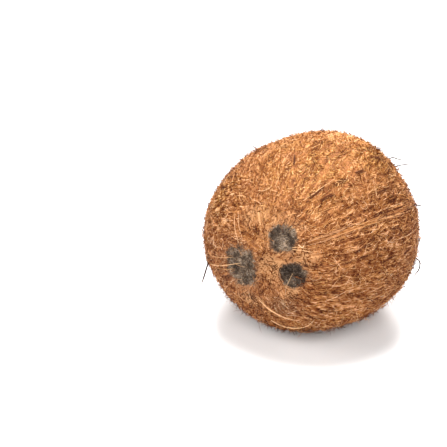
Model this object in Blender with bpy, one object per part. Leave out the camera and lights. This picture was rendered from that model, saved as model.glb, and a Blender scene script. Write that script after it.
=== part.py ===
import math

import bmesh
import bpy
from mathutils import Matrix, Vector

# A husked coconut lying on its side on a small flat spot, in metres, +Z up. It grew as one
# piece, so it is one solid. Its grain runs from the eye end, at the front left, to the stem end.

# Size and how the nut lies
MEAN_RADIUS = 0.0585
EYE_END_TURN = math.radians(-25.5)  # the eye end's turn away from straight ahead, -Y
EYE_END_LIFT = math.radians(11.7)  # how far the eye end points above level

# Shares of the mean radius that make the nut's cross-section long, oval and three-sided
LONG_SHARE = 0.012
OVAL_SHARE, OVAL_AT = 0.0396, math.radians(21.6)
LOBE_SHARE, LOBE_AT = 0.0085, math.radians(-35.3)
CORNER_SHARE, CORNER_AT = 0.0115, math.radians(-14.8)

# Low swellings and hollows, and the three seams between the eyes
LUMP_HEIGHT = 0.0004
LUMP_WAVES = ((3.1, 0.4), (4.3, 2.2), (5.2, 4.1))  # waves round the nut, and where each starts
SEAM_HEIGHT = 0.0008
SEAM_WIDTH = math.radians(9)
SEAMS_AT = (math.radians(20), math.radians(138), math.radians(264))

# The eye end is blunt and the stem end slightly pointed
BLUNT_DEPTH, BLUNT_SPREAD = 0.0016, math.radians(30)
POINT_HEIGHT, POINT_SPREAD = 0.0015, math.radians(24)

# Each eye: angle from the grain axis, angle round it, half-width and depth
EYES = {
    "upper": (math.radians(14.8), math.radians(70), 0.0078, 0.0012),
    "soft": (math.radians(20.3), math.radians(204), 0.0119, 0.0015),
    "lower": (math.radians(14.5), math.radians(-22.8), 0.0074, 0.0013),
}

# The underside is a little flattened, and the flat spot is cut across it
BED_DEPTH, BED_SPREAD = 0.0022, math.radians(26)
BED_WAY = (-0.16, 0.20, -1)  # a little behind straight down, so that the flat spot is under the middle
FLAT_SPOT_RISE = 0.0006

SEGMENTS, RINGS = 64, 44
HUSK_COLOUR = (0.42, 0.20, 0.08, 1)
SMOOTH_ANGLE = math.radians(40)


def clear_scene():
    for old in list(bpy.data.objects):
        bpy.data.objects.remove(old, do_unlink=True)


def nut_axes():
    """The nut's own axes: level side, rise, and grain, which points out of the eye end."""
    grain = Vector(
        (
            math.sin(EYE_END_TURN) * math.cos(EYE_END_LIFT),
            -math.cos(EYE_END_TURN) * math.cos(EYE_END_LIFT),
            math.sin(EYE_END_LIFT),
        )
    )
    side = Vector((math.cos(EYE_END_TURN), math.sin(EYE_END_TURN), 0))
    return Matrix((side, grain.cross(side), grain)).transposed()


def on_nut(polar, around):
    """The unit vector at an angle from the grain axis and an angle round it, in the nut's axes."""
    ring = math.sin(polar)
    return Vector((ring * math.cos(around), ring * math.sin(around), math.cos(polar)))


def swell(angle, spread):
    return math.exp(-((angle / spread) ** 2))


def angle_apart(first, second):
    return abs(math.remainder(first - second, math.tau))


def section_radius(polar, around):
    """The smooth nut: long, oval, three-sided and slightly squared."""
    ring, height = math.sin(polar), math.cos(polar)
    return MEAN_RADIUS * (
        1
        + LONG_SHARE * (1.5 * height**2 - 0.5)
        + OVAL_SHARE * ring**2 * math.cos(2 * (around - OVAL_AT))
        + LOBE_SHARE * ring**3 * math.cos(3 * (around - LOBE_AT))
        + CORNER_SHARE * ring**4 * math.cos(4 * (around - CORNER_AT))
    )


def relief(way, polar, around):
    """What stands out of the smooth nut: lumps, seams and the two ends."""
    lumps = sum(math.sin(waves * way[i] + start) for i, (waves, start) in enumerate(LUMP_WAVES))
    seams = sum(swell(angle_apart(around, at), SEAM_WIDTH) for at in SEAMS_AT)
    return (
        LUMP_HEIGHT * lumps
        + SEAM_HEIGHT * seams * math.sin(polar) ** 2
        - BLUNT_DEPTH * swell(polar, BLUNT_SPREAD)
        + POINT_HEIGHT * swell(math.pi - polar, POINT_SPREAD)
    )


def eye_depth(way):
    depth = 0
    for polar, around, half_width, deep in EYES.values():
        reach = MEAN_RADIUS * way.angle(on_nut(polar, around)) / half_width
        if reach < 1:
            depth += deep * (1 - reach**2) ** 2
    return depth


def shape_nut(mesh):
    """Moves each point of a unit sphere, whose poles are the nut's two ends, out to the surface."""
    axes = nut_axes()
    bed = axes.transposed() @ Vector(BED_WAY)
    for vert in mesh.verts:
        way = vert.co.normalized()
        polar = math.acos(max(-1, min(1, way.z)))
        around = math.atan2(way.y, way.x)
        radius = section_radius(polar, around) + relief(way, polar, around) - eye_depth(way)
        radius -= BED_DEPTH * swell(way.angle(bed), BED_SPREAD)
        vert.co = axes @ (way * radius)


def cut_flat_spot(mesh):
    lowest = min(vert.co.z for vert in mesh.verts)
    cut = bmesh.ops.bisect_plane(
        mesh,
        geom=mesh.verts[:] + mesh.edges[:] + mesh.faces[:],
        plane_co=(0, 0, lowest + FLAT_SPOT_RISE),
        plane_no=(0, 0, -1),
        clear_outer=True,
    )
    rim = [piece for piece in cut["geom_cut"] if isinstance(piece, bmesh.types.BMEdge)]
    bmesh.ops.edgeloop_fill(mesh, edges=rim)
    bmesh.ops.recalc_face_normals(mesh, faces=mesh.faces)


def stand_on_origin(mesh):
    """Puts the middle of the underside of the nut's box at the origin."""
    lows = [min(vert.co[i] for vert in mesh.verts) for i in range(3)]
    highs = [max(vert.co[i] for vert in mesh.verts) for i in range(3)]
    middle = Vector(((lows[0] + highs[0]) / 2, (lows[1] + highs[1]) / 2, lows[2]))
    bmesh.ops.translate(mesh, verts=mesh.verts, vec=-middle)


def husk_material():
    material = bpy.data.materials.new("husk")
    material.use_nodes = True
    shader = material.node_tree.nodes["Principled BSDF"]
    shader.inputs["Base Color"].default_value = HUSK_COLOUR
    shader.inputs["Roughness"].default_value = 0.85
    shader.inputs["Metallic"].default_value = 0
    material.diffuse_color = HUSK_COLOUR
    return material


def make_coconut(collection):
    shape = bmesh.new()
    bmesh.ops.create_uvsphere(shape, u_segments=SEGMENTS, v_segments=RINGS, radius=1)
    shape_nut(shape)
    cut_flat_spot(shape)
    stand_on_origin(shape)
    mesh = bpy.data.meshes.new("coconut")
    shape.to_mesh(mesh)
    shape.free()
    mesh.shade_smooth()
    mesh.set_sharp_from_angle(angle=SMOOTH_ANGLE)
    mesh.materials.append(husk_material())
    coconut = bpy.data.objects.new("coconut", mesh)
    collection.objects.link(coconut)
    return coconut


def main():
    clear_scene()
    collection = bpy.data.collections.new("coconut")
    bpy.context.scene.collection.children.link(collection)
    make_coconut(collection)


main()
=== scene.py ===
import math

import bmesh
import bpy
import numpy as np
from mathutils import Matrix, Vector, noise


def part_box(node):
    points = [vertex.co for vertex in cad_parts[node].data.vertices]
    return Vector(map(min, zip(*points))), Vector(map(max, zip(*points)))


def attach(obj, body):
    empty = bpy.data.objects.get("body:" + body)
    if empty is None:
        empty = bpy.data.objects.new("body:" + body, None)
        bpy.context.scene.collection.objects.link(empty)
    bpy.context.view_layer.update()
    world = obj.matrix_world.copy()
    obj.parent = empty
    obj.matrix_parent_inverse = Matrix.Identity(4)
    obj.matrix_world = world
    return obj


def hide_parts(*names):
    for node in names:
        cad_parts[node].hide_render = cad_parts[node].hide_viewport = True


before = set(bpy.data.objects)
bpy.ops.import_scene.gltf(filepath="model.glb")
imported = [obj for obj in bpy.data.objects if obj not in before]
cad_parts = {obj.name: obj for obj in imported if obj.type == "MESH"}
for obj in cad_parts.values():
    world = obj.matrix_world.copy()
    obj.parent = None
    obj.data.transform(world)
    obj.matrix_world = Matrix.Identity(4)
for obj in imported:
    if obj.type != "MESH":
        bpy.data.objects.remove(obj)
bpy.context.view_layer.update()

nodeLow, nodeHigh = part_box("coconut")
rad = np.radians
rng = np.random.default_rng(20)

# The nut's own axes: side is level, rise points up, grain points out of the eye end.
# A way is a unit vector in those axes; polar is its angle from the grain and around its
# angle round it.
nut = {
    "meanRadius": 0.0585,
    "turn": rad(-25.5),
    "lift": rad(11.7),
    "longShare": 0.012,
    "oval": (0.0396, rad(21.6)),
    "lobe": (0.0085, rad(-35.3)),
    "corner": (0.0115, rad(-14.8)),
    "lumpHeight": 0.0004,
    "lumpWaves": ((3.1, 0.4), (4.3, 2.2), (5.2, 4.1)),
    "seamHeight": 0.0008,
    "seamWidth": rad(9),
    "seams": (rad(20), rad(138), rad(264)),
    "blunt": (0.0016, rad(30)),
    "point": (0.0015, rad(24)),
    "bed": (0.0022, rad(26), (-0.16, 0.20, -1)),
}

eyes = {  # angle from the grain, angle round it, half-width, depth
    "upper": (rad(14.8), rad(70), 0.0078, 0.0012),
    "soft": (rad(20.3), rad(204), 0.0119, 0.0015),
    "lower": (rad(14.5), rad(-22.8), 0.0074, 0.0013),
}


def unit(vectors):
    return vectors / np.linalg.norm(vectors, axis=-1, keepdims=True)


def swell(angle, spread):
    return np.exp(-((angle / spread) ** 2))


def step(low, high, value):
    t = np.clip((value - low) / (high - low), 0, 1)
    return t * t * (3 - 2 * t)


def noiseAt(points, scale=1.0, start=0.0):
    places = (points * scale + start).tolist()
    return np.array([noise.noise(place) for place in places])


def nutAxes():
    turn, lift = nut["turn"], nut["lift"]
    grain = Vector((math.sin(turn) * math.cos(lift), -math.cos(turn) * math.cos(lift), math.sin(lift)))
    side = Vector((math.cos(turn), math.sin(turn), 0))
    return np.array((side, grain.cross(side), grain))


axes = nutAxes()  # rows: side, rise, grain


def onNut(polar, around):
    polar, around = np.asarray(polar, float), np.asarray(around, float)
    ring = np.sin(polar)
    return np.stack((ring * np.cos(around), ring * np.sin(around), np.cos(polar) + 0 * around), -1)


def anglesOf(ways):
    return np.arccos(np.clip(ways[..., 2], -1, 1)), np.arctan2(ways[..., 1], ways[..., 0])


def angleTo(ways, polar, around):
    return np.arccos(np.clip(ways @ onNut(polar, around), -1, 1))


def surfaceRadius(ways):
    polar, around = anglesOf(ways)
    ring, height = np.sin(polar), np.cos(polar)
    radius = 1 + nut["longShare"] * (1.5 * height**2 - 0.5)
    for power, waves, key in ((2, 2, "oval"), (3, 3, "lobe"), (4, 4, "corner")):
        share, at = nut[key]
        radius = radius + share * ring**power * np.cos(waves * (around - at))
    radius = radius * nut["meanRadius"]
    lumps = sum(np.sin(waves * ways[..., i] + start) for i, (waves, start) in enumerate(nut["lumpWaves"]))
    apart = [np.abs(np.remainder(around - at + np.pi, 2 * np.pi) - np.pi) for at in nut["seams"]]
    seams = sum(swell(gap, nut["seamWidth"]) for gap in apart)
    radius = radius + nut["lumpHeight"] * lumps + nut["seamHeight"] * seams * ring**2
    radius = radius - nut["blunt"][0] * swell(polar, nut["blunt"][1])
    radius = radius + nut["point"][0] * swell(np.pi - polar, nut["point"][1])
    depth, spread, bedWay = nut["bed"]
    bed = unit(axes @ np.array(bedWay))
    radius = radius - depth * swell(np.arccos(np.clip(ways @ bed, -1, 1)), spread)
    for eyePolar, eyeAround, halfWidth, deep in eyes.values():
        reach = nut["meanRadius"] * angleTo(ways, eyePolar, eyeAround) / halfWidth
        radius = radius - deep * np.clip(1 - reach**2, 0, 1) ** 2
    return radius


def nutCentre():
    # the level spread and the top of the smooth nut are where the CAD solid has them
    polar, around = np.meshgrid(np.linspace(0, np.pi, 241), np.linspace(-np.pi, np.pi, 481))
    ways = onNut(polar.ravel(), around.ravel())
    spots = (ways * surfaceRadius(ways)[:, None]) @ axes
    low, high = spots.min(0), spots.max(0)
    middle = (np.array(nodeLow) + np.array(nodeHigh)) / 2
    return np.array((*(middle - (low + high) / 2)[:2], nodeHigh.z - high[2]))


centre = nutCentre()
print("nut centre", centre.round(4).tolist())


def placeOf(ways, lift=0.0):
    radius = surfaceRadius(ways) + lift
    spots = (ways * radius[..., None]) @ axes + centre
    spots[..., 2] = np.maximum(spots[..., 2], 0.0003)  # nothing goes into the floor
    return spots


# Where the coat changes. Each zone is a few round patches: an angle from the grain, an angle round it
# and a spread.
zones = {
    "bald": (  # worn smooth, near the eyes
        (rad(16), rad(80), rad(13)), (rad(3), rad(-40), rad(13)), (rad(25), rad(122), rad(10)),
        (rad(33), rad(-112), rad(8)), (rad(20), rad(-50), rad(8)), (rad(18), rad(15), rad(9)),
    ),
    "combed": (  # long fibres that lie along the grain
        (rad(62), rad(10), rad(30)), (rad(50), rad(-25), rad(24)), (rad(90), rad(30), rad(24)),
    ),
    "curly": (  # tangled pale fibres
        (rad(44), rad(178), rad(12)), (rad(57), rad(40), rad(9)), (rad(62), rad(8), rad(10)),
        (rad(44), rad(2), rad(8)),
    ),
    "shaved": (  # cut short and crumbly, on the upper side
        (rad(50), rad(82), rad(24)), (rad(66), rad(62), rad(20)), (rad(95), rad(85), rad(22)),
    ),
    "rough": (  # stronger lights and darks
        (rad(52), rad(158), rad(28)), (rad(60), rad(22), rad(22)), (rad(80), rad(-130), rad(40)),
    ),
    "ashen": (  # greyer fibres
        (rad(29), rad(-117), rad(5)), (rad(28), rad(-72), rad(7)), (rad(18), rad(118), rad(5)),
        (rad(62), rad(95), rad(7)), (rad(47), rad(148), rad(6)),
    ),
    "shady": (  # painted shade: fibres tinted darker low on the nut, where its underside is in shadow
        (rad(86), rad(-96), rad(23)), (rad(90), rad(-50), rad(16)),
    ),
    "golden": (  # yellower fibres
        (rad(60), rad(85), rad(32)), (rad(52), rad(150), rad(14)), (rad(92), rad(60), rad(20)),
        (rad(20), rad(110), rad(12)),
    ),
}


def inZone(ways, key):
    parts = [swell(angleTo(ways, polar, around), spread) for polar, around, spread in zones[key]]
    return np.max(parts, axis=0)


eyeRims = {
    "broadRags": (0.26, 11),  # share of the eye's half-width, how often round the nut
    "fineRags": (0.24, 46),
    "fadeIn": 0.20,
    "fadeOut": 0.16,
}


def inEyes(ways, edge=1.0):
    # 1 inside an eye's ragged rim, 0 outside
    (broad, broadScale), (fine, fineScale) = eyeRims["broadRags"], eyeRims["fineRags"]
    ragged = broad * noiseAt(ways, broadScale, 3.1) + fine * noiseAt(ways, fineScale, 7.7)
    inside = np.zeros(len(ways))
    for polar, around, halfWidth, _ in eyes.values():
        reach = nut["meanRadius"] * angleTo(ways, polar, around) / halfWidth + ragged
        inside = np.maximum(inside, 1 - step(edge - eyeRims["fadeIn"], edge + eyeRims["fadeOut"], reach))
    return inside


def grainPlace(ways, across=22.0, along=2.6):
    # noise read here is drawn out along the grain
    polar, around = anglesOf(ways)
    return np.stack((across * np.cos(around), across * np.sin(around), along * polar), -1)


def furrows(ways):
    places = grainPlace(ways)
    return noiseAt(places) + 0.6 * noiseAt(places, 2.1, 5.0)


# Where the fibres lie across the grain: an angle from the grain, an angle round it, a spread and the
# angle that the fibres are turned by.
turnedZones = {
    "left": (rad(48), rad(160), rad(26), rad(45)),
    "lowRight": (rad(46), rad(-50), rad(24), rad(32)),
}


def headingsAt(ways, turned):
    # along the grain, away from the eye end, turned to the left by an angle
    polar, around = anglesOf(ways)
    down = np.stack((np.cos(polar) * np.cos(around), np.cos(polar) * np.sin(around), -np.sin(polar)), 1)
    across = np.stack((-np.sin(around), np.cos(around), 0 * around), 1)
    return down * np.cos(turned)[:, None] + across * np.sin(turned)[:, None]


def turnAt(ways):
    turn = np.zeros(len(ways))
    for polar, around, spread, angle in turnedZones.values():
        turn += angle * np.minimum(1, 1.25 * swell(angleTo(ways, polar, around), spread))
    return turn


clots = {  # how much each kind of light and dark counts, and how fine it is
    "drawn": ((1.15, 128), (0.40, 52)),
    "crumbly": ((1.1, 92), (0.30, 40)),
    "pressed": ((1.1, 88), (0.5, 40)),
    "gapAt": 0.30,
    "gapFade": 0.16,
}


def clumps(ways):
    # light and dark as fibres clot together: drawn out along the grain, or crumbly where it was shaved
    (coarse, coarseScale), (fine, fineScale) = clots["drawn"]
    drawn = coarse * noiseAt(grainPlace(ways, coarseScale, 22)) \
        + fine * noiseAt(grainPlace(ways, fineScale, 6), 1, 6.0)
    (coarse, coarseScale), (fine, fineScale) = clots["crumbly"]
    crumbly = coarse * noiseAt(ways, coarseScale, 2.5) + fine * noiseAt(ways, fineScale, 6.5)
    share = np.clip(0.55 + 0.6 * inZone(ways, "shaved") - 0.7 * inZone(ways, "combed"), 0.05, 1)
    value = drawn * (1 - share) + crumbly * share
    (coarse, coarseScale), (fine, fineScale) = clots["pressed"]
    for polar, around, spread, angle in turnedZones.values():
        near = np.minimum(1, 1.25 * swell(angleTo(ways, polar, around), spread))
        along = headingsAt(onNut(polar, around)[None], np.array([angle]))[0]
        pressed = ways - 0.7 * (ways @ along)[:, None] * along
        turned = coarse * noiseAt(pressed, coarseScale, 4.4) + fine * noiseAt(pressed, fineScale, 1.7)
        value = value * (1 - near) + near * turned
    return value


def pits(ways):
    # 1 in the small gaps between clots of fibre, where the coat is sunk and thinned and its fibres are
    # painted darker as shade
    gap = -clumps(ways) - clots["gapAt"] - 0.25 * inZone(ways, "bald")
    return np.clip(gap / clots["gapFade"], 0, 1)


def principled(name):
    material = bpy.data.materials.new(name)
    material.use_nodes = True
    tree = material.node_tree
    return material, tree, tree.nodes["Principled BSDF"]


def ramp(tree, stops, source):
    node = tree.nodes.new("ShaderNodeValToRGB")
    marks = node.color_ramp.elements
    for mark, (at, colour) in zip(marks, (stops[0], stops[-1])):
        mark.position = at
        mark.color = (*colour, 1)
    for at, colour in stops[1:-1]:
        marks.new(at).color = (*colour, 1)
    tree.links.new(source, node.inputs["Fac"])
    return node.outputs["Color"]


def mixColour(tree, amount, first, second):
    node = tree.nodes.new("ShaderNodeMix")
    node.data_type = "RGBA"
    for source, socket in ((amount, 0), (first, 6), (second, 7)):  # the colour sockets of a mix node
        tree.links.new(source, node.inputs[socket])
    return node.outputs[2]


def maths(tree, operation, first, second=0.0, third=0.0):
    node = tree.nodes.new("ShaderNodeMath")
    node.operation = operation
    for i, value in enumerate((first, second, third)):
        if isinstance(value, bpy.types.NodeSocket):
            tree.links.new(value, node.inputs[i])
        else:
            node.inputs[i].default_value = value
    return node.outputs[0]


def limited(tree, value):
    node = tree.nodes.new("ShaderNodeClamp")
    tree.links.new(value, node.inputs["Value"])
    return node.outputs[0]


def noiseNode(tree, vector, scale, detail=2.0, roughness=0.5):
    node = tree.nodes.new("ShaderNodeTexNoise")
    node.inputs["Scale"].default_value = scale
    node.inputs["Detail"].default_value = detail
    node.inputs["Roughness"].default_value = roughness
    tree.links.new(vector, node.inputs["Vector"])
    return node.outputs["Fac"]


def attribute(tree, name, output="Fac"):
    node = tree.nodes.new("ShaderNodeAttribute")
    node.attribute_name = name
    return node.outputs[output]


def bump(tree, height, strength, distance, shader):
    node = tree.nodes.new("ShaderNodeBump")
    node.inputs["Strength"].default_value = strength
    node.inputs["Distance"].default_value = distance
    tree.links.new(height, node.inputs["Height"])
    tree.links.new(node.outputs["Normal"], shader.inputs["Normal"])


# Three tints of fibre, each from deep brown to bleached, in linear colour
coirTints = {
    "ashen": ((0.0, (0.036, 0.010, 0.005)), (0.25, (0.150, 0.060, 0.027)), (0.50, (0.345, 0.180, 0.092)),
              (0.75, (0.58, 0.35, 0.195)), (1.0, (0.78, 0.55, 0.36))),
    "rosy": ((0.0, (0.032, 0.006, 0.002)), (0.25, (0.165, 0.042, 0.011)), (0.50, (0.385, 0.142, 0.045)),
             (0.75, (0.63, 0.290, 0.115)), (1.0, (0.84, 0.50, 0.28))),
    "golden": ((0.0, (0.038, 0.007, 0.001)), (0.25, (0.185, 0.046, 0.006)), (0.50, (0.43, 0.185, 0.044)),
               (0.75, (0.68, 0.365, 0.125)), (1.0, (0.86, 0.53, 0.24))),
}

huskLook = {
    "gapTints": ((0.0, (0.055, 0.016, 0.005)), (0.45, (0.20, 0.068, 0.022)), (0.75, (0.40, 0.16, 0.055)),
                 (1.0, (0.62, 0.30, 0.12))),
    "paleTints": ((0.0, (0.14, 0.050, 0.016)), (0.5, (0.37, 0.165, 0.062)), (1.0, (0.60, 0.33, 0.15))),
    "eyeTints": ((0.0, (0.012, 0.008, 0.006)), (0.5, (0.075, 0.052, 0.037)), (1.0, (0.26, 0.19, 0.14))),
    "roughness": 0.85,
    "glow": 0.25,
    "bump": (0.6, 0.0006),
}


def huskMaterial():
    material, tree, shader = principled("huskGround")
    grain = attribute(tree, "grainWay", "Vector")
    place = tree.nodes.new("ShaderNodeTexCoord").outputs["Object"]
    streak = noiseNode(tree, grain, 1.3, 4, 0.62)
    speckle = noiseNode(tree, place, 900, 3, 0.6)
    value = maths(tree, "MULTIPLY_ADD", streak, 1.1, -0.22)
    value = maths(tree, "MULTIPLY_ADD", speckle, 0.5, value)
    value = maths(tree, "MULTIPLY_ADD", attribute(tree, "furrow"), 0.35, value)
    ground = ramp(tree, huskLook["gapTints"], value)
    pale = ramp(tree, huskLook["paleTints"], value)
    felt = maths(tree, "MULTIPLY_ADD", noiseNode(tree, place, 620, 4, 0.7), 1.7, -0.35)
    eye = ramp(tree, huskLook["eyeTints"], felt)
    colour = mixColour(tree, attribute(tree, "paleShade"), ground, pale)
    colour = mixColour(tree, attribute(tree, "eyeShade"), colour, eye)
    tree.links.new(colour, shader.inputs["Base Color"])
    shader.inputs["Roughness"].default_value = huskLook["roughness"]
    shader.inputs["Specular IOR Level"].default_value = huskLook["glow"]
    bump(tree, value, *huskLook["bump"], shader)
    return material


huskSurface = {
    "cuts": 119,  # grid lines between a cube edge's ends, before it is blown round
    "furrowDepth": 0.00028,
    "gritDepth": 0.00012,
    "clotDepth": 0.0003,
    "eyeGrit": 0.00055,
    "eyeSink": 0.0002,
    "bump": (rad(25.4), rad(17.1), rad(3.2), 0.0006),
    "hole": (rad(17.7), rad(128.8), rad(1.3), 0.0018),
    "slit": (rad(49), rad(-50), rad(1.6), 0.0012),
}


def addValues(mesh, name, values, kind="FLOAT"):
    layer = mesh.attributes.new(name, kind, "POINT")
    layer.data.foreach_set("value" if kind == "FLOAT" else "vector", np.asarray(values, np.float32).ravel())


def makeHuskSurface():
    shape = bmesh.new()
    bmesh.ops.create_cube(shape, size=2)
    bmesh.ops.subdivide_edges(shape, edges=shape.edges, cuts=huskSurface["cuts"], use_grid_fill=True)
    mesh = bpy.data.meshes.new("huskSurface")
    faceSide = [max(range(6), key=lambda i: (face.normal.x, face.normal.y, face.normal.z,
                                             -face.normal.x, -face.normal.y, -face.normal.z)[i])
                for face in shape.faces]
    shape.to_mesh(mesh)
    shape.free()
    flat = np.empty(len(mesh.vertices) * 3)
    mesh.vertices.foreach_get("co", flat)
    flat = flat.reshape(-1, 3)
    ways = unit(np.tan(flat * np.pi / 4))  # even spacing on the sphere

    eye = inEyes(ways)
    bald = inZone(ways, "bald")
    furrow = furrows(ways)
    grit = noiseAt(ways, 70, 2.0)
    lift = huskSurface["furrowDepth"] * furrow * (1 - 0.7 * bald) * (1 - eye)
    lift += huskSurface["clotDepth"] * (clumps(ways) - pits(ways)) * (1 - 0.6 * bald) * (1 - eye)
    lift += huskSurface["gritDepth"] * grit
    eyeGrit = noiseAt(ways, 48, 9.0) + 0.6 * noiseAt(ways, 105, 1.0)
    lift += eye * (huskSurface["eyeGrit"] * eyeGrit - huskSurface["eyeSink"])
    for key, sign in (("bump", 1), ("hole", -1), ("slit", -1)):
        polar, around, spread, height = huskSurface[key]
        lift += sign * height * swell(angleTo(ways, polar, around), spread)
    spots = placeOf(ways, lift)
    mesh.vertices.foreach_set("co", spots.astype(np.float32).ravel())

    addValues(mesh, "eyeShade", eye)
    addValues(mesh, "paleShade", np.clip(1.15 * bald - 0.1, 0, 1))
    addValues(mesh, "furrow", furrow)
    addValues(mesh, "grainWay", grainPlace(ways), "FLOAT_VECTOR")

    layer = mesh.uv_layers.new(name="OFBake")
    corners = np.empty(len(mesh.loops), np.int32)
    mesh.loops.foreach_get("vertex_index", corners)
    side = np.repeat(faceSide, 4)
    cube = flat[corners]
    other = np.array(((1, 2), (2, 0), (0, 1)))[side % 3]
    across = np.take_along_axis(cube, other, 1) * 0.49 + 0.5
    uv = np.stack(((across[:, 0] + side % 3) / 3, (across[:, 1] + side // 3) / 2), 1)
    layer.data.foreach_set("uv", uv.astype(np.float32).ravel())
    mesh.shade_smooth()
    mesh.materials.append(huskMaterial())
    return addPiece("huskSurface", mesh)


def addPiece(name, mesh):
    piece = bpy.data.objects.new(name, mesh)
    bpy.context.scene.collection.objects.link(piece)
    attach(piece, "root")
    return piece


def fibreMaterial(name, tints, roughness, glow=0.08):
    # the map's u is how light a fibre is, from bleaching and from painted shade and light, and v how golden,
    # so one small map serves them all
    material, tree, shader = principled(name)
    uvNode = tree.nodes.new("ShaderNodeUVMap")
    uvNode.uv_map = "OFBake"
    split = tree.nodes.new("ShaderNodeSeparateXYZ")
    tree.links.new(uvNode.outputs["UV"], split.inputs["Vector"])
    fleck = noiseNode(tree, uvNode.outputs["UV"], 60, 2, 0.5)
    bleachAndShade = maths(tree, "MULTIPLY_ADD", fleck, 0.16, maths(tree, "SUBTRACT", split.outputs["X"], 0.08))
    first, second, third = (ramp(tree, stops, bleachAndShade) for stops in tints)
    low = maths(tree, "MULTIPLY", split.outputs["Y"], 2.8)
    high = maths(tree, "MULTIPLY_ADD", split.outputs["Y"], 1.55, -0.55)
    colour = mixColour(tree, limited(tree, high), mixColour(tree, limited(tree, low), first, second), third)
    tree.links.new(colour, shader.inputs["Base Color"])
    shader.inputs["Roughness"].default_value = roughness
    shader.inputs["Specular IOR Level"].default_value = glow
    return material


def fibreSection():
    # fibres are three-sided: hundreds of thousands of them leave no room for more
    section = bpy.data.curves.new("fibreSection", "CURVE")
    section.dimensions = "2D"
    spline = section.splines.new("POLY")
    spline.points.add(2)
    spline.use_cyclic_u = True
    for point, angle in zip(spline.points, (90, 210, 330)):
        point.co = (math.cos(rad(angle)), math.sin(rad(angle)), 0, 1)
    guide = bpy.data.objects.new("fibreSection", section)
    bpy.context.scene.collection.objects.link(guide)
    return guide


sectionGuide = fibreSection()
mostTriangles = 190000


def fibreMesh(name, paths, radii, bleachAndShade, golden):
    count, points = paths.shape[:2]
    curve = bpy.data.curves.new(name, "CURVE")
    curve.dimensions = "3D"
    curve.bevel_mode = "OBJECT"
    curve.bevel_object = sectionGuide
    curve.use_fill_caps = True
    spots = np.concatenate((paths, np.ones((count, points, 1))), 2).astype(np.float32)
    thick = radii.astype(np.float32)
    for i in range(count):
        spline = curve.splines.new("POLY")
        spline.points.add(points - 1)
        spline.points.foreach_set("co", spots[i].ravel())
        spline.points.foreach_set("radius", thick[i])
    guide = bpy.data.objects.new(name + "Guide", curve)
    bpy.context.scene.collection.objects.link(guide)
    graph = bpy.context.evaluated_depsgraph_get()
    mesh = bpy.data.meshes.new_from_object(guide.evaluated_get(graph))
    bpy.data.objects.remove(guide)
    bpy.data.curves.remove(curve)
    mesh.name = name
    for old in list(mesh.uv_layers):
        mesh.uv_layers.remove(old)

    # caps come first, last fibre to first and tip before root; then the tubes in order
    capFibre = np.repeat(np.arange(count)[::-1], 6)
    capPoint = np.tile(np.repeat((points - 1, 0), 3), count)
    tubeFibre = np.repeat(np.arange(count), points * 3)
    tubePoint = np.tile(np.repeat(np.arange(points), 3), count)
    fibreOf = np.concatenate((capFibre, tubeFibre))
    pointOf = np.concatenate((capPoint, tubePoint))
    corner = np.tile((0, 1, 2), len(fibreOf) // 3)
    u = bleachAndShade[fibreOf, pointOf] + 0.04 * (pointOf / (points - 1) - 0.5) + 0.002 * (corner == 1)
    v = golden[fibreOf] + 0.005 * corner
    uv = np.clip(np.stack((u, v), 1), 0.002, 0.998)
    corners = np.empty(len(mesh.loops), np.int32)
    mesh.loops.foreach_get("vertex_index", corners)
    mesh.uv_layers.new(name="OFBake").data.foreach_set("uv", uv[corners].astype(np.float32).ravel())
    mesh.shade_smooth()
    mesh.materials.clear()
    return mesh


def addFibres(name, material, paths, radii, bleachAndShade, golden):
    if bleachAndShade.ndim == 1:
        bleachAndShade = np.repeat(bleachAndShade[:, None], paths.shape[1], 1)
    trianglesEach = 6 * (paths.shape[1] - 1) + 2
    most = mostTriangles // trianglesEach
    parts = math.ceil(len(paths) / most)
    ends = np.linspace(0, len(paths), parts + 1).astype(int)
    for k in range(parts):
        cut = slice(ends[k], ends[k + 1])
        label = name if parts == 1 else f"{name}{k + 1}"
        mesh = fibreMesh(label, paths[cut], radii[cut], bleachAndShade[cut], golden[cut])
        mesh.materials.append(material)
        addPiece(label, mesh)
    print(f"{name}: {len(paths)} fibres, {len(paths) * trianglesEach} triangles, {parts} piece(s)")


def scatter(count):
    height = rng.uniform(-1, 1, count)
    angle = rng.uniform(-np.pi, np.pi, count)
    ring = np.sqrt(1 - height**2)
    return np.stack((ring * np.cos(angle), ring * np.sin(angle), height), 1)


def walk(ways, headings, lengths, points, curls):
    # each fibre goes straight over the nut except for its curl, an angle to turn at each step
    steps = lengths / (points - 1) / nut["meanRadius"]
    trail = [ways]
    way, heading = ways, headings
    for k in range(points - 1):
        way = unit(way + heading * steps[:, None])
        heading = unit(heading - (heading * way).sum(1, keepdims=True) * way)
        side = np.cross(way, heading)
        curl = curls[:, k, None]
        heading = heading * np.cos(curl) + side * np.sin(curl)
        trail.append(way)
    return np.stack(trail, 1)


def liftPaths(trails, lifts):
    count, points = trails.shape[:2]
    return placeOf(trails.reshape(-1, 3), lifts.ravel()).reshape(count, points, 3)


def taper(points, blunt=0.55, tip=0.35):
    # thickness along a fibre: full in the middle, thinner at the root and thinnest at the tip
    t = np.linspace(0, 1, points)
    return np.minimum(1, np.minimum(blunt + 3 * t, tip + 2.5 * (1 - t)))


def characterOf(ways):
    return {key: inZone(ways, key) for key in zones}


coatTone = {
    "middle": 0.51,
    "drift": ((0.07, 3.2), (0.11, 9.0)),  # slow changes over the nut: how much, how fine
    "contrast": {"bald": -0.45, "shaved": -0.3, "rough": 0.8, "combed": 0.6},
    # darker low on the nut (shady) as painted shade, and darker in the bald patch
    # lighter on the upper side (shaved), darker at the sides (combed, rough): partly own tone, partly
    # painted light and shade
    "shade": {"shaved": 0.12, "bald": -0.29, "combed": -0.13, "rough": -0.07, "shady": -0.22},
    # painted shade: fibres in the gaps between clots are tinted darker
    "gaps": -0.35,
    "furrows": 0.06,
    "gold": 0.40,
    "goldZone": 0.58,
    "goldDrift": 0.14,
    "goldSpread": 0.09,
    "ash": 0.42,
}


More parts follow.
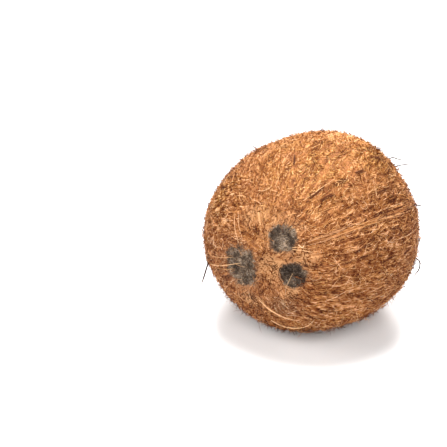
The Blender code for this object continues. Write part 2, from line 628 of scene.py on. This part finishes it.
def tintsOf(trails, spread, shade, contrast=0.54):
    # how light each point of each fibre is, from bleaching and from painted shade and light, and how golden
    # each fibre is
    count, points = trails.shape[:2]
    spots = trails.reshape(-1, 3)
    zone = characterOf(spots)
    (slow, slowScale), (quick, quickScale) = coatTone["drift"]
    value = coatTone["middle"] + slow * noiseAt(spots, slowScale, 4.0)
    value += quick * noiseAt(spots, quickScale, 8.0)
    contrast = contrast * (1 + sum(share * zone[key] for key, share in coatTone["contrast"].items()))
    value += contrast * clumps(spots) + coatTone["gaps"] * pits(spots)
    value += coatTone["furrows"] * furrows(spots) * (1 + zone["combed"])
    value += sum(share * zone[key] for key, share in coatTone["shade"].items())
    value = value.reshape(count, points) + shade + rng.normal(0, spread, (count, 1))
    middle = trails[:, points // 2]
    golden = coatTone["gold"] + coatTone["goldZone"] * inZone(middle, "golden")
    golden += coatTone["goldDrift"] * noiseAt(middle, 4.1, 12.0)
    golden += rng.normal(0, coatTone["goldSpread"], count)
    golden -= coatTone["ash"] * np.maximum(inZone(middle, "ashen"), 0.7 * inEyes(middle, 1.30))
    return np.clip(value, 0.02, 0.98), np.clip(golden, 0.02, 0.98)


# Three layers, the deepest first. Lengths, radii and lifts are ranges in metres.
# Each layer's shade is painted by depth: the under coat darker as shade under the layers above, the chips on
# top lighter.
coatLayers = {
    "underCoat": {
        "count": 15000, "points": 5, "length": (0.0045, 0.0110), "radius": (0.00015, 0.00025),
        "spread": rad(14), "curl": rad(6), "lift": (-0.0002, 0.0000), "relief": 0.0002,
        "shade": -0.22, "tintSpread": 0.10,
    },
    "coat": {
        "count": 13500, "points": 6, "length": (0.0032, 0.0085), "radius": (0.00012, 0.00021),
        "spread": rad(13), "curl": rad(6), "lift": (0.0001, 0.0004), "relief": 0.0004,
        "shade": 0.02, "tintSpread": 0.19,
    },
    "chips": {
        "count": 23000, "points": 3, "length": (0.0008, 0.0024), "radius": (0.00012, 0.00022),
        "spread": rad(32), "curl": rad(10), "lift": (0.0001, 0.0004), "relief": 0.0004,
        "shade": 0.05, "tintSpread": 0.22,
    },
}


def makeCoatLayer(name, material):
    recipe = coatLayers[name]
    ways = scatter(recipe["count"])
    emptied = np.maximum(0.75 * inZone(ways, "bald"), inEyes(ways, 1.05))
    if name != "underCoat":
        emptied = np.maximum(emptied, 0.9 * pits(ways))
    if name == "chips":
        emptied = np.maximum(emptied, 0.3 * inZone(ways, "combed"))
    ways = ways[rng.uniform(0, 1, len(ways)) > emptied]
    ways = ways[np.argsort(np.arctan2(ways[:, 1], ways[:, 0]))]
    zone = characterOf(ways)
    count, points = len(ways), recipe["points"]
    spread = recipe["spread"] * (1 + 1.2 * zone["curly"] + 2.0 * zone["shaved"] + 5 * zone["bald"]
                                 - 0.65 * zone["combed"] * (1 - zone["curly"]) * (1 - zone["bald"]))
    turned = turnAt(ways) + rng.normal(0, 1, count) * spread + rng.integers(0, 2, count) * np.pi
    lengths = rng.uniform(*recipe["length"], count) * (1 - 0.5 * zone["shaved"]) * (1 + 0.8 * zone["combed"])
    lengths *= 1 - 0.6 * zone["bald"]
    curls = rng.normal(0, 1, (count, 1)) + rng.normal(0, 0.6, (count, points - 1))
    curls = curls * (recipe["curl"] * (1 + 2.0 * zone["curly"] - 0.5 * zone["combed"]))[:, None]
    trails = walk(ways, headingsAt(ways, turned), lengths, points, curls)
    spots = trails.reshape(-1, 3)
    kept = inEyes(spots, 1.0).reshape(count, points).max(1) < rng.uniform(0.3, 1.6, count)
    trails, lengths = trails[kept], lengths[kept]
    count, spots = len(trails), trails.reshape(-1, 3)
    relief = recipe["relief"] * clumps(spots) * (1 - 0.6 * inZone(spots, "bald")) \
        - huskSurface["clotDepth"] * pits(spots)
    relief += huskSurface["furrowDepth"] * furrows(spots)
    lifts = rng.uniform(*recipe["lift"], (count, 1)) + relief.reshape(count, points)
    lifts += rng.uniform(0, 0.0003, (count, 1)) * np.linspace(-0.5, 1, points)
    radii = rng.uniform(*recipe["radius"], count)[:, None] * taper(points)
    bleachAndShade, golden = tintsOf(trails, recipe["tintSpread"], recipe["shade"])
    addFibres(name, material, liftPaths(trails, lifts), radii, bleachAndShade, golden)


looseFibres = {
    "count": 7000,
    "points": 8,
    "length": (0.004, 0.013),
    "radius": (0.00008, 0.00015),
    "spread": rad(45),
    "curl": rad(24),
    "arch": (0.0004, 0.0016),
}


def makeLooseFibres(material):
    recipe = looseFibres
    ways = scatter(recipe["count"])
    character = characterOf(ways)
    chance = 0.16 + 0.55 * character["curly"] + 0.40 * character["combed"] - 0.35 * character["bald"] \
        - 0.3 * character["shaved"]
    keep = (rng.uniform(0, 1, len(ways)) < chance) & (inEyes(ways, 1.1) < 0.3)
    ways = ways[keep]
    character = {key: value[keep] for key, value in character.items()}
    count, points = len(ways), recipe["points"]
    turned = rng.normal(0, 1, count) * recipe["spread"] * (1 - 0.4 * character["combed"])
    turned += rng.integers(0, 2, count) * np.pi
    curls = rng.normal(0, 1, (count, 1)) + rng.normal(0, 0.7, (count, points - 1))
    curls = curls * recipe["curl"] * (1 - 0.4 * character["combed"])[:, None]
    lengths = rng.uniform(*recipe["length"], count)
    trails = walk(ways, headingsAt(ways, turned), lengths, points, curls)
    t = np.linspace(0, 1, points)
    arch = rng.uniform(*recipe["arch"], count)
    lifts = 0.0004 + arch[:, None] * np.sin(np.pi * np.minimum(1, t * rng.uniform(0.6, 1.3, count)[:, None]))
    radii = rng.uniform(*recipe["radius"], count)[:, None] * taper(points)
    bleachAndShade, golden = tintsOf(trails, 0.18, 0.14, 0.25)
    addFibres("looseFibres", material, liftPaths(trails, lifts), radii, bleachAndShade, golden)


fuzz = {
    "count": 8500,
    "points": 4,
    "length": (0.0012, 0.0044),
    "radius": (0.00009, 0.00017),
    "rise": (0.25, 0.85),  # share of the length that stands out of the nut
}


def makeFuzz(material):
    recipe = fuzz
    ways = scatter(recipe["count"])
    ways = ways[inEyes(ways) < 0.5]
    character = characterOf(ways)
    count, points = len(ways), recipe["points"]
    turned = rng.uniform(-np.pi, np.pi, count)
    lengths = rng.uniform(*recipe["length"], count) * (1 - 0.5 * character["bald"])
    rise = rng.uniform(*recipe["rise"], count)
    curls = rng.normal(0, rad(18), (count, points - 1))
    trails = walk(ways, headingsAt(ways, turned), lengths * np.sqrt(1 - rise**2), points, curls)
    t = np.linspace(0, 1, points)
    lifts = 0.0003 + (lengths * rise)[:, None] * t**1.3
    radii = rng.uniform(*recipe["radius"], count)[:, None] * taper(points, 1.0, 0.3)
    # painted shade: the fuzz is tinted darker all over, as standing fibres in shadow look
    bleachAndShade, golden = tintsOf(trails, 0.18, -0.32, 0.2)
    addFibres("fuzz", material, liftPaths(trails, lifts), radii, bleachAndShade, golden)


eyeFibres = {
    "each": 640,
    "points": 4,
    "length": (0.0009, 0.0026),
    "radius": (0.00009, 0.00019),
    "tone": 0.49,
    "lowerTone": 0.31,  # the lower eye is the darkest
    "mottle": 0.8,
    "toneSpread": 0.17,
    "tints": (
        ((0.0, (0.012, 0.008, 0.007)), (0.5, (0.085, 0.062, 0.048)), (1.0, (0.38, 0.30, 0.23))),
        ((0.0, (0.012, 0.008, 0.006)), (0.5, (0.095, 0.063, 0.042)), (1.0, (0.40, 0.29, 0.20))),
        ((0.0, (0.016, 0.009, 0.006)), (0.5, (0.125, 0.076, 0.042)), (1.0, (0.46, 0.31, 0.19))),
    ),
}


def makeEyeFibres(material):
    recipe = eyeFibres
    ways, reach = [], []
    for polar, around, halfWidth, _ in eyes.values():
        number = int(recipe["each"] * (halfWidth / eyes["upper"][2]) ** 2)
        middle = onNut(polar, around)
        sideways = unit(np.cross(middle, (0, 0, 1)))
        upward = np.cross(sideways, middle)
        angle = rng.uniform(0, 2 * np.pi, number)
        out = np.sqrt(rng.uniform(0, 1, number)) * halfWidth / nut["meanRadius"]
        spots = middle + out[:, None] * (np.cos(angle)[:, None] * sideways + np.sin(angle)[:, None] * upward)
        ways.append(unit(spots))
    ways = np.concatenate(ways)
    ways = ways[inEyes(ways) > 0.5]
    count, points = len(ways), recipe["points"]
    turned = rng.uniform(-np.pi, np.pi, count)
    curls = rng.normal(0, rad(30), (count, points - 1))
    lengths = rng.uniform(*recipe["length"], count)
    trails = walk(ways, headingsAt(ways, turned), lengths, points, curls)
    t = np.linspace(0, 1, points)
    arch = np.sin(np.pi * t)
    lifts = rng.uniform(-0.0002, 0.0003, count)[:, None] + 0.0004 * rng.uniform(0, 1, (count, 1)) * arch
    radii = rng.uniform(*recipe["radius"], count)[:, None] * taper(points)
    spots = trails.reshape(-1, 3)
    mottle = 0.7 * noiseAt(spots, 14, 3.0) + 0.30 * noiseAt(spots, 50, 5.0)
    tone = np.where(angleTo(ways, *eyes["lower"][:2]) < 0.2, recipe["lowerTone"], recipe["tone"])
    tone += 0.01 * (angleTo(ways, *eyes["soft"][:2]) < 0.22)
    bleachAndShade = tone[:, None] + recipe["mottle"] * mottle.reshape(count, points)
    bleachAndShade = np.clip(bleachAndShade + rng.normal(0, recipe["toneSpread"], (count, 1)), 0.02, 0.98)
    golden = np.clip(rng.normal(0.35, 0.25, count), 0.02, 0.98)
    addFibres("eyeFibres", material, liftPaths(trails, lifts), radii, bleachAndShade, golden)


strayHairs = {
    "count": 260,
    "points": 10,
    "length": (0.006, 0.018),
    "radius": (0.00006, 0.00011),
    "rise": (0.10, 0.45),
    "most": 0.006,  # how far one may stand out
    "bend": rad(9),
    "wave": rad(5),
}


def makeStrayHairs(material):
    recipe = strayHairs
    ways = scatter(recipe["count"])
    ways = ways[inZone(ways, "bald") < 0.5]
    count, points = len(ways), recipe["points"]
    turned = rng.uniform(-np.pi, np.pi, count)
    lengths = rng.uniform(*recipe["length"], count)
    rise = rng.uniform(*recipe["rise"], count)
    curls = rng.normal(0, recipe["bend"], (count, 1)) + rng.normal(0, recipe["wave"], (count, points - 1))
    trails = walk(ways, headingsAt(ways, turned), lengths, points, curls)
    t = np.linspace(0, 1, points)
    lifts = 0.0003 + np.minimum(lengths * rise, recipe["most"])[:, None] * t**1.4
    radii = rng.uniform(*recipe["radius"], count)[:, None] * taper(points, 0.8, 0.4)
    bleachAndShade, golden = tintsOf(trails, 0.30, 0, 0)
    addFibres("strayHairs", material, liftPaths(trails, lifts), radii, bleachAndShade, golden)


seam = {  # the long straight fibres over the seam at the right, from near the eyes to the far rim
    "line": ((17, 36), (33, 31.7), (48, 29.9), (69, 27.9), (98, 24.3), (112, 22)),  # degrees
    "count": 95,
    "points": 12,
    "length": (0.010, 0.034),
    "radius": (0.00013, 0.00024),
    "halfWidth": 0.0013,
    "rise": (0.0004, 0.0009),
}

# Painted shade: dark fibres laid along gaps in the coat; the one at 40 to 50 degrees is the shadow beside
# the long pale strand.
# Each streak: from one (polar, around) to another in degrees, and a half-width in metres
paintedShadeStreaks = (
    ((79, 27.5), (100, 24.8), 0.00035), ((66, 43), (88, 39), 0.0006), ((88, 60), (100, 55), 0.0005),
    ((40, 67.5), (50, 64.5), 0.0003), ((54, 61), (63, 57.8), 0.0005), ((69, 57.3), (76, 55.3), 0.0005),
    ((60, 31), (76, 30), 0.0004), ((24.5, 1.5), (28.5, 6), 0.0003), ((46, 14), (54, 17), 0.0003),
    ((48, 9), (54, 9), 0.0003), ((43.5, -52.5), (50.5, -49), 0.00055), ((70, 20), (80, 18), 0.0003),
    ((62, 3), (72, 5), 0.0003), ((17.8, 133), (16.6, 120), 0.0004), ((17.4, 130), (16.8, 124), 0.0003),
    ((55, 92), (63, 95), 0.0003), ((42, 60), (50, 57), 0.0004),
)
shadeStreakFibres = {
    "each": 9,
    "whole": 3,  # this many run the whole way, the others part of it
    "points": 7,
    "radius": (0.00014, 0.00024),
    "lift": (0.0004, 0.0008),
    "tone": (0.04, 0.20),
}

# Single strands: way points as (polar, around, lift in mm), half-width in mm, how bleached, how golden
strands = {
    "lowRimHair": (((76, -60, 0.3), (79, -58, 2.0), (82, -58, 2.6)), 0.20, 0.03, 0.1),
    "lowRimHairMate": (((80, -44, 0.3), (83, -43, 1.8), (86, -44, 2.2)), 0.16, 0.03, 0.1),
    "lowerArc": (((27, -104, 0.6), (32, -90, 1.1), (38, -77, 1.2), (42, -69, 0.6)), 0.27, 0.98, 0.6),
    "lowerArcMate": (((25, -106, 0.6), (31, -91, 0.9), (37, -79, 0.9), (40, -72, 0.6)), 0.16, 0.88, 0.5),
    "lowestArc": (((44, -93, 0.6), (49, -85, 1.2), (51, -76, 1.4), (49.5, -66, 1.1), (45, -56, 0.6)),
                  0.32, 0.98, 0.6),
    "lowestArcMate": (((46, -92, 0.6), (50, -83, 1.0), (52, -75, 1.0), (50, -64, 0.8), (46, -58, 0.6)),
                      0.15, 0.85, 0.5),
    "eyeCrossingA": (((47, -164, 0.8), (33, -166, 1.4), (24, -168, 0.8)), 0.13, 0.85, 0.5),
    "eyeCrossingB": (((52, -157, 0.8), (34, -158, 1.9), (19, -160, 1.2)), 0.19, 0.95, 0.6),
    "eyeCrossingC": (((44, -155, 0.8), (32, -154, 1.2), (25, -152, 0.7)), 0.13, 0.80, 0.5),
    "rimHair": (((107.5, -8, 0.5), (109, -10, 3.6), (107.5, -14, 4.6), (105, -19, 3.0)), 0.46, 0.02, 0.1),
    "rimStub": (((103, 25, 0.3), (112, 22, 1.6), (116.5, 19.5, 4.6)), 0.50, 0.02, 0.1),
    "upperHair": (((117, 54, 0.3), (119, 53, 3.0), (120, 50, 5.0), (121, 48, 8.0)), 0.40, 0.02, 0.1),
    "upperHairMate": (((119, 48, 0.3), (121, 46.5, 4.0), (122, 44, 8.5)), 0.40, 0.02, 0.1),
    "topLeftHair": (((89.5, 132, 0.2), (90, 133, 2.2), (90, 134, 4.4)), 0.36, 0.02, 0.1),
    "leftHair": (((61.5, -157, 0.4), (60.5, -152, 4.0), (59, -146, 9.5)), 0.60, 0.02, 0.1),
    "leftPaleHair": (((66, -172, 0.4), (66.5, -173, 3.5), (67, -174, 8.0)), 0.22, 0.70, 0.3),
    "farHair": (((108, -9, 0.3), (109, -10.5, 4.0), (109, -11, 8.5)), 0.18, 0.10, 0.1),
    "backHair": (((120, 140, 0.3), (124, 142, 3.5), (127, 146, 6.0)), 0.14, 0.10, 0.2),
    "stemHair": (((168, 20, 0.3), (173, 40, 2.5), (175, 90, 5.5)), 0.22, 0.12, 0.2),
    "underHair": (((70, -80, 0.4), (75, -74, 2.5), (80, -72, 3.0)), 0.14, 0.08, 0.2),
    "paleCurlA": (((37, -33, 0.7), (40, -24, 1.3), (46, -14, 0.8)), 0.15, 0.93, 0.4),
    "paleCurlB": (((33, -15, 0.7), (38, -14, 1.2), (44, -9, 0.7)), 0.14, 0.90, 0.4),
    "paleLine": (((74, 13, 0.6), (86, 12.5, 1.1), (99, 12, 0.6)), 0.14, 0.92, 0.3),
    "longPale": (((37, 71.5, 0.6), (45, 67.3, 0.9), (57, 63.7, 0.6)), 0.17, 0.95, 0.6),
    "eyeLash": (((14.5, 37, 0.5), (19, 29, 0.9), (24, 22, 0.6)), 0.18, 0.90, 0.6),
    "eyeLashMate": (((15, 41, 0.5), (18.5, 35, 0.9), (22, 28, 0.6)), 0.15, 0.86, 0.6),
    "eyeSpark": (((18.5, 40, 0.8), (20, 33, 1.4), (21.5, 36, 1.0)), 0.24, 0.98, 0.3),
    "uprightA": (((21, 168, 0.6), (28, 154, 1.1), (34, 146, 0.7)), 0.16, 0.93, 0.5),
    "uprightB": (((20, 158, 0.6), (27, 148, 1.0), (33, 141, 0.7)), 0.15, 0.90, 0.5),
}


def turnInto(points, places):
    # a smooth line of so many points through the places
    places = np.asarray(places, float)
    padded = np.concatenate((2 * places[:1] - places[1:2], places, 2 * places[-1:] - places[-2:-1]))
    along = np.linspace(0, len(places) - 1, points)
    k = np.minimum(along.astype(int), len(places) - 2)
    t = (along - k)[:, None]
    a, b, c, d = (padded[k + i] for i in range(4))
    return 0.5 * (2 * b + (c - a) * t + (2 * a - 5 * b + 4 * c - d) * t**2 + (3 * b - a - 3 * c + d) * t**3)


def makeSeam(material):
    count, points = seam["count"], seam["points"]
    polars, arounds = rad(np.array(seam["line"]).T)
    total = (polars[-1] - polars[0]) * nut["meanRadius"]
    lengths = rng.uniform(*seam["length"], count)
    start = rng.uniform(0, 1, count) * (total - lengths)
    t = np.linspace(0, 1, points)
    polar = polars[0] + (start[:, None] + lengths[:, None] * t) / nut["meanRadius"]
    offset = rng.normal(0, seam["halfWidth"], (count, 1)) * np.minimum(1, 0.5 + polar) \
        + rng.normal(0, 0.0006, (count, 1)) * t + 0.00012 * np.cumsum(rng.normal(0, 1, (count, points)), 1)
    around = np.interp(polar, polars, arounds) + offset / (nut["meanRadius"] * np.sin(polar))
    trails = onNut(polar, around)
    lifts = rng.uniform(*seam["rise"], (count, 1)) * np.sin(np.pi * (0.15 + 0.7 * t))
    radii = rng.uniform(*seam["radius"], count)[:, None] * taper(points)
    dark = rng.uniform(0, 1, count) < 0.38
    lifts = np.where(dark[:, None], 0.6 * lifts, lifts)
    bleachAndShade = np.where(dark, rng.uniform(0.03, 0.20, count), rng.uniform(0.36, 0.86, count))
    golden = rng.uniform(0.1, 0.6, count)
    addFibres("seamFibres", material, liftPaths(trails, lifts), radii, bleachAndShade, golden)


def makeShadeStreaks(material):
    recipe = shadeStreakFibres
    points, trails, tints = recipe["points"], [], []
    for start, end, halfWidth in paintedShadeStreaks:
        ends = rad(np.array((start, end)))
        for k in range(recipe["each"]):
            t = np.sort(rng.uniform(0, 1, 2)) if k >= recipe["whole"] else np.array((0, 1))
            polar, around = (np.interp(np.linspace(*t, points), (0, 1), ends[:, i]) for i in (0, 1))
            shift = rng.normal(0, halfWidth) / (nut["meanRadius"] * np.sin(polar))
            trails.append(onNut(polar, around + shift))
            tints.append(rng.uniform(*recipe["tone"]))
    trails = np.array(trails)
    count = len(trails)
    lifts = rng.uniform(*recipe["lift"], (count, 1)) * np.ones(points)
    radii = rng.uniform(*recipe["radius"], (count, 1)) * taper(points)
    # painted shade: these fibres stand in for the dark of gaps and a cast shadow
    addFibres("paintedShadeStreaks", material, liftPaths(trails, lifts), radii, np.array(tints), np.full(count, 0.2))


def makeStrands(material):
    points, paths, radii, bleachAndShade, golden = 16, [], [], [], []
    for places, thick, pale, gold in strands.values():
        places = np.array(places)
        spots = placeOf(onNut(rad(places[:, 0]), rad(places[:, 1])), 0.001 * places[:, 2])
        paths.append(turnInto(points, spots))
        radii.append(0.001 * thick * taper(points, 0.8, 0.35))
        bleachAndShade.append(pale)
        golden.append(gold)
    addFibres("strands", material, np.array(paths), np.array(radii), np.array(bleachAndShade), np.array(golden))


cameraSet = {
    "elevation": rad(30),
    "distance": 1.05,
    "fieldWidth": 0.2540,  # how wide the view is where the nut is
    "nutRight": 0.0497,
    "nutBelow": 0.0046,
    "sensor": 36.0,
}


def makeCamera():
    tilt = cameraSet["elevation"]
    right = Vector((1, 0, 0))
    up = Vector((0, math.sin(tilt), math.cos(tilt)))
    back = Vector((0, -math.cos(tilt), math.sin(tilt)))
    aim = Vector(centre) - right * cameraSet["nutRight"] + up * cameraSet["nutBelow"]
    data = bpy.data.cameras.new("camera")
    data.sensor_width = cameraSet["sensor"]
    data.lens = cameraSet["sensor"] * cameraSet["distance"] / cameraSet["fieldWidth"]
    camera = bpy.data.objects.new("camera", data)
    camera.location = aim + back * cameraSet["distance"]
    camera.rotation_euler = back.to_track_quat("Z", "Y").to_euler()
    bpy.context.scene.collection.objects.link(camera)
    bpy.context.scene.camera = camera


studio = {
    "floorHalf": 1,
    "floorTint": 0.86,
    "floorRoughness": 0.9,
    "fill": 0.16,  # even light from all round
}


def makeFloor():
    shape = bmesh.new()
    bmesh.ops.create_grid(shape, x_segments=2, y_segments=2, size=studio["floorHalf"])
    mesh = bpy.data.meshes.new("floor")
    shape.to_mesh(mesh)
    shape.free()
    material, _, shader = principled("floorPaper")
    shader.inputs["Base Color"].default_value = (*[studio["floorTint"]] * 3, 1)
    shader.inputs["Roughness"].default_value = studio["floorRoughness"]
    mesh.materials.append(material)
    floor = bpy.data.objects.new("floor", mesh)
    bpy.context.scene.collection.objects.link(floor)


lights = {  # where from the nut's centre, side of the panel, watts
    "topPanel": ((0.0, 0.0, 1.2), 0.5, 20),
    "frontPanel": ((0.0, -0.9, 0.68), 0.6, 11.3),
    "backPanel": ((0.1, 0.9, 0.95), 0.6, 26),
    "leftPanel": ((-1.1, -0.3, 0.7), 0.6, 8),
    "rightPanel": ((1.1, -0.3, 0.7), 0.6, 3),
}


def makeLights():
    for name, (offset, side, watts) in lights.items():
        data = bpy.data.lights.new(name, "AREA")
        data.shape = "SQUARE"
        data.size = side
        data.energy = watts
        panel = bpy.data.objects.new(name, data)
        panel.location = Vector(centre) + Vector(offset)
        panel.rotation_euler = Vector(offset).to_track_quat("Z", "Y").to_euler()
        bpy.context.scene.collection.objects.link(panel)


def makeWorld():
    world = bpy.data.worlds.new("studio")
    world.use_nodes = True
    background = world.node_tree.nodes["Background"]
    background.inputs["Color"].default_value = (1, 1, 1, 1)
    background.inputs["Strength"].default_value = studio["fill"]
    seen = world.node_tree.nodes.new("ShaderNodeBackground")  # what the camera sees past the floor
    seen.inputs["Color"].default_value = (1, 1, 1, 1)
    mix = world.node_tree.nodes.new("ShaderNodeMixShader")
    path = world.node_tree.nodes.new("ShaderNodeLightPath")
    link = world.node_tree.links.new
    link(path.outputs["Is Camera Ray"], mix.inputs["Fac"])
    link(background.outputs[0], mix.inputs[1])
    link(seen.outputs[0], mix.inputs[2])
    link(mix.outputs[0], world.node_tree.nodes["World Output"].inputs["Surface"])
    bpy.context.scene.world = world
    bpy.context.scene.view_settings.view_transform = "Standard"


makeCamera()
makeFloor()
makeLights()
makeWorld()
print("studio ready")

surface = makeHuskSurface()
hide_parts("coconut")
print("husk surface ready:", len(surface.data.polygons), "faces")

coir = fibreMaterial("coir", tuple(coirTints.values()), 0.62)
eyeCoir = fibreMaterial("eyeCoir", eyeFibres["tints"], 0.75)
for layer in coatLayers:
    makeCoatLayer(layer, coir)
makeLooseFibres(coir)
makeFuzz(coir)
makeEyeFibres(eyeCoir)
makeStrayHairs(coir)
makeSeam(coir)
makeShadeStreaks(coir)
makeStrands(coir)
bpy.data.objects.remove(sectionGuide)
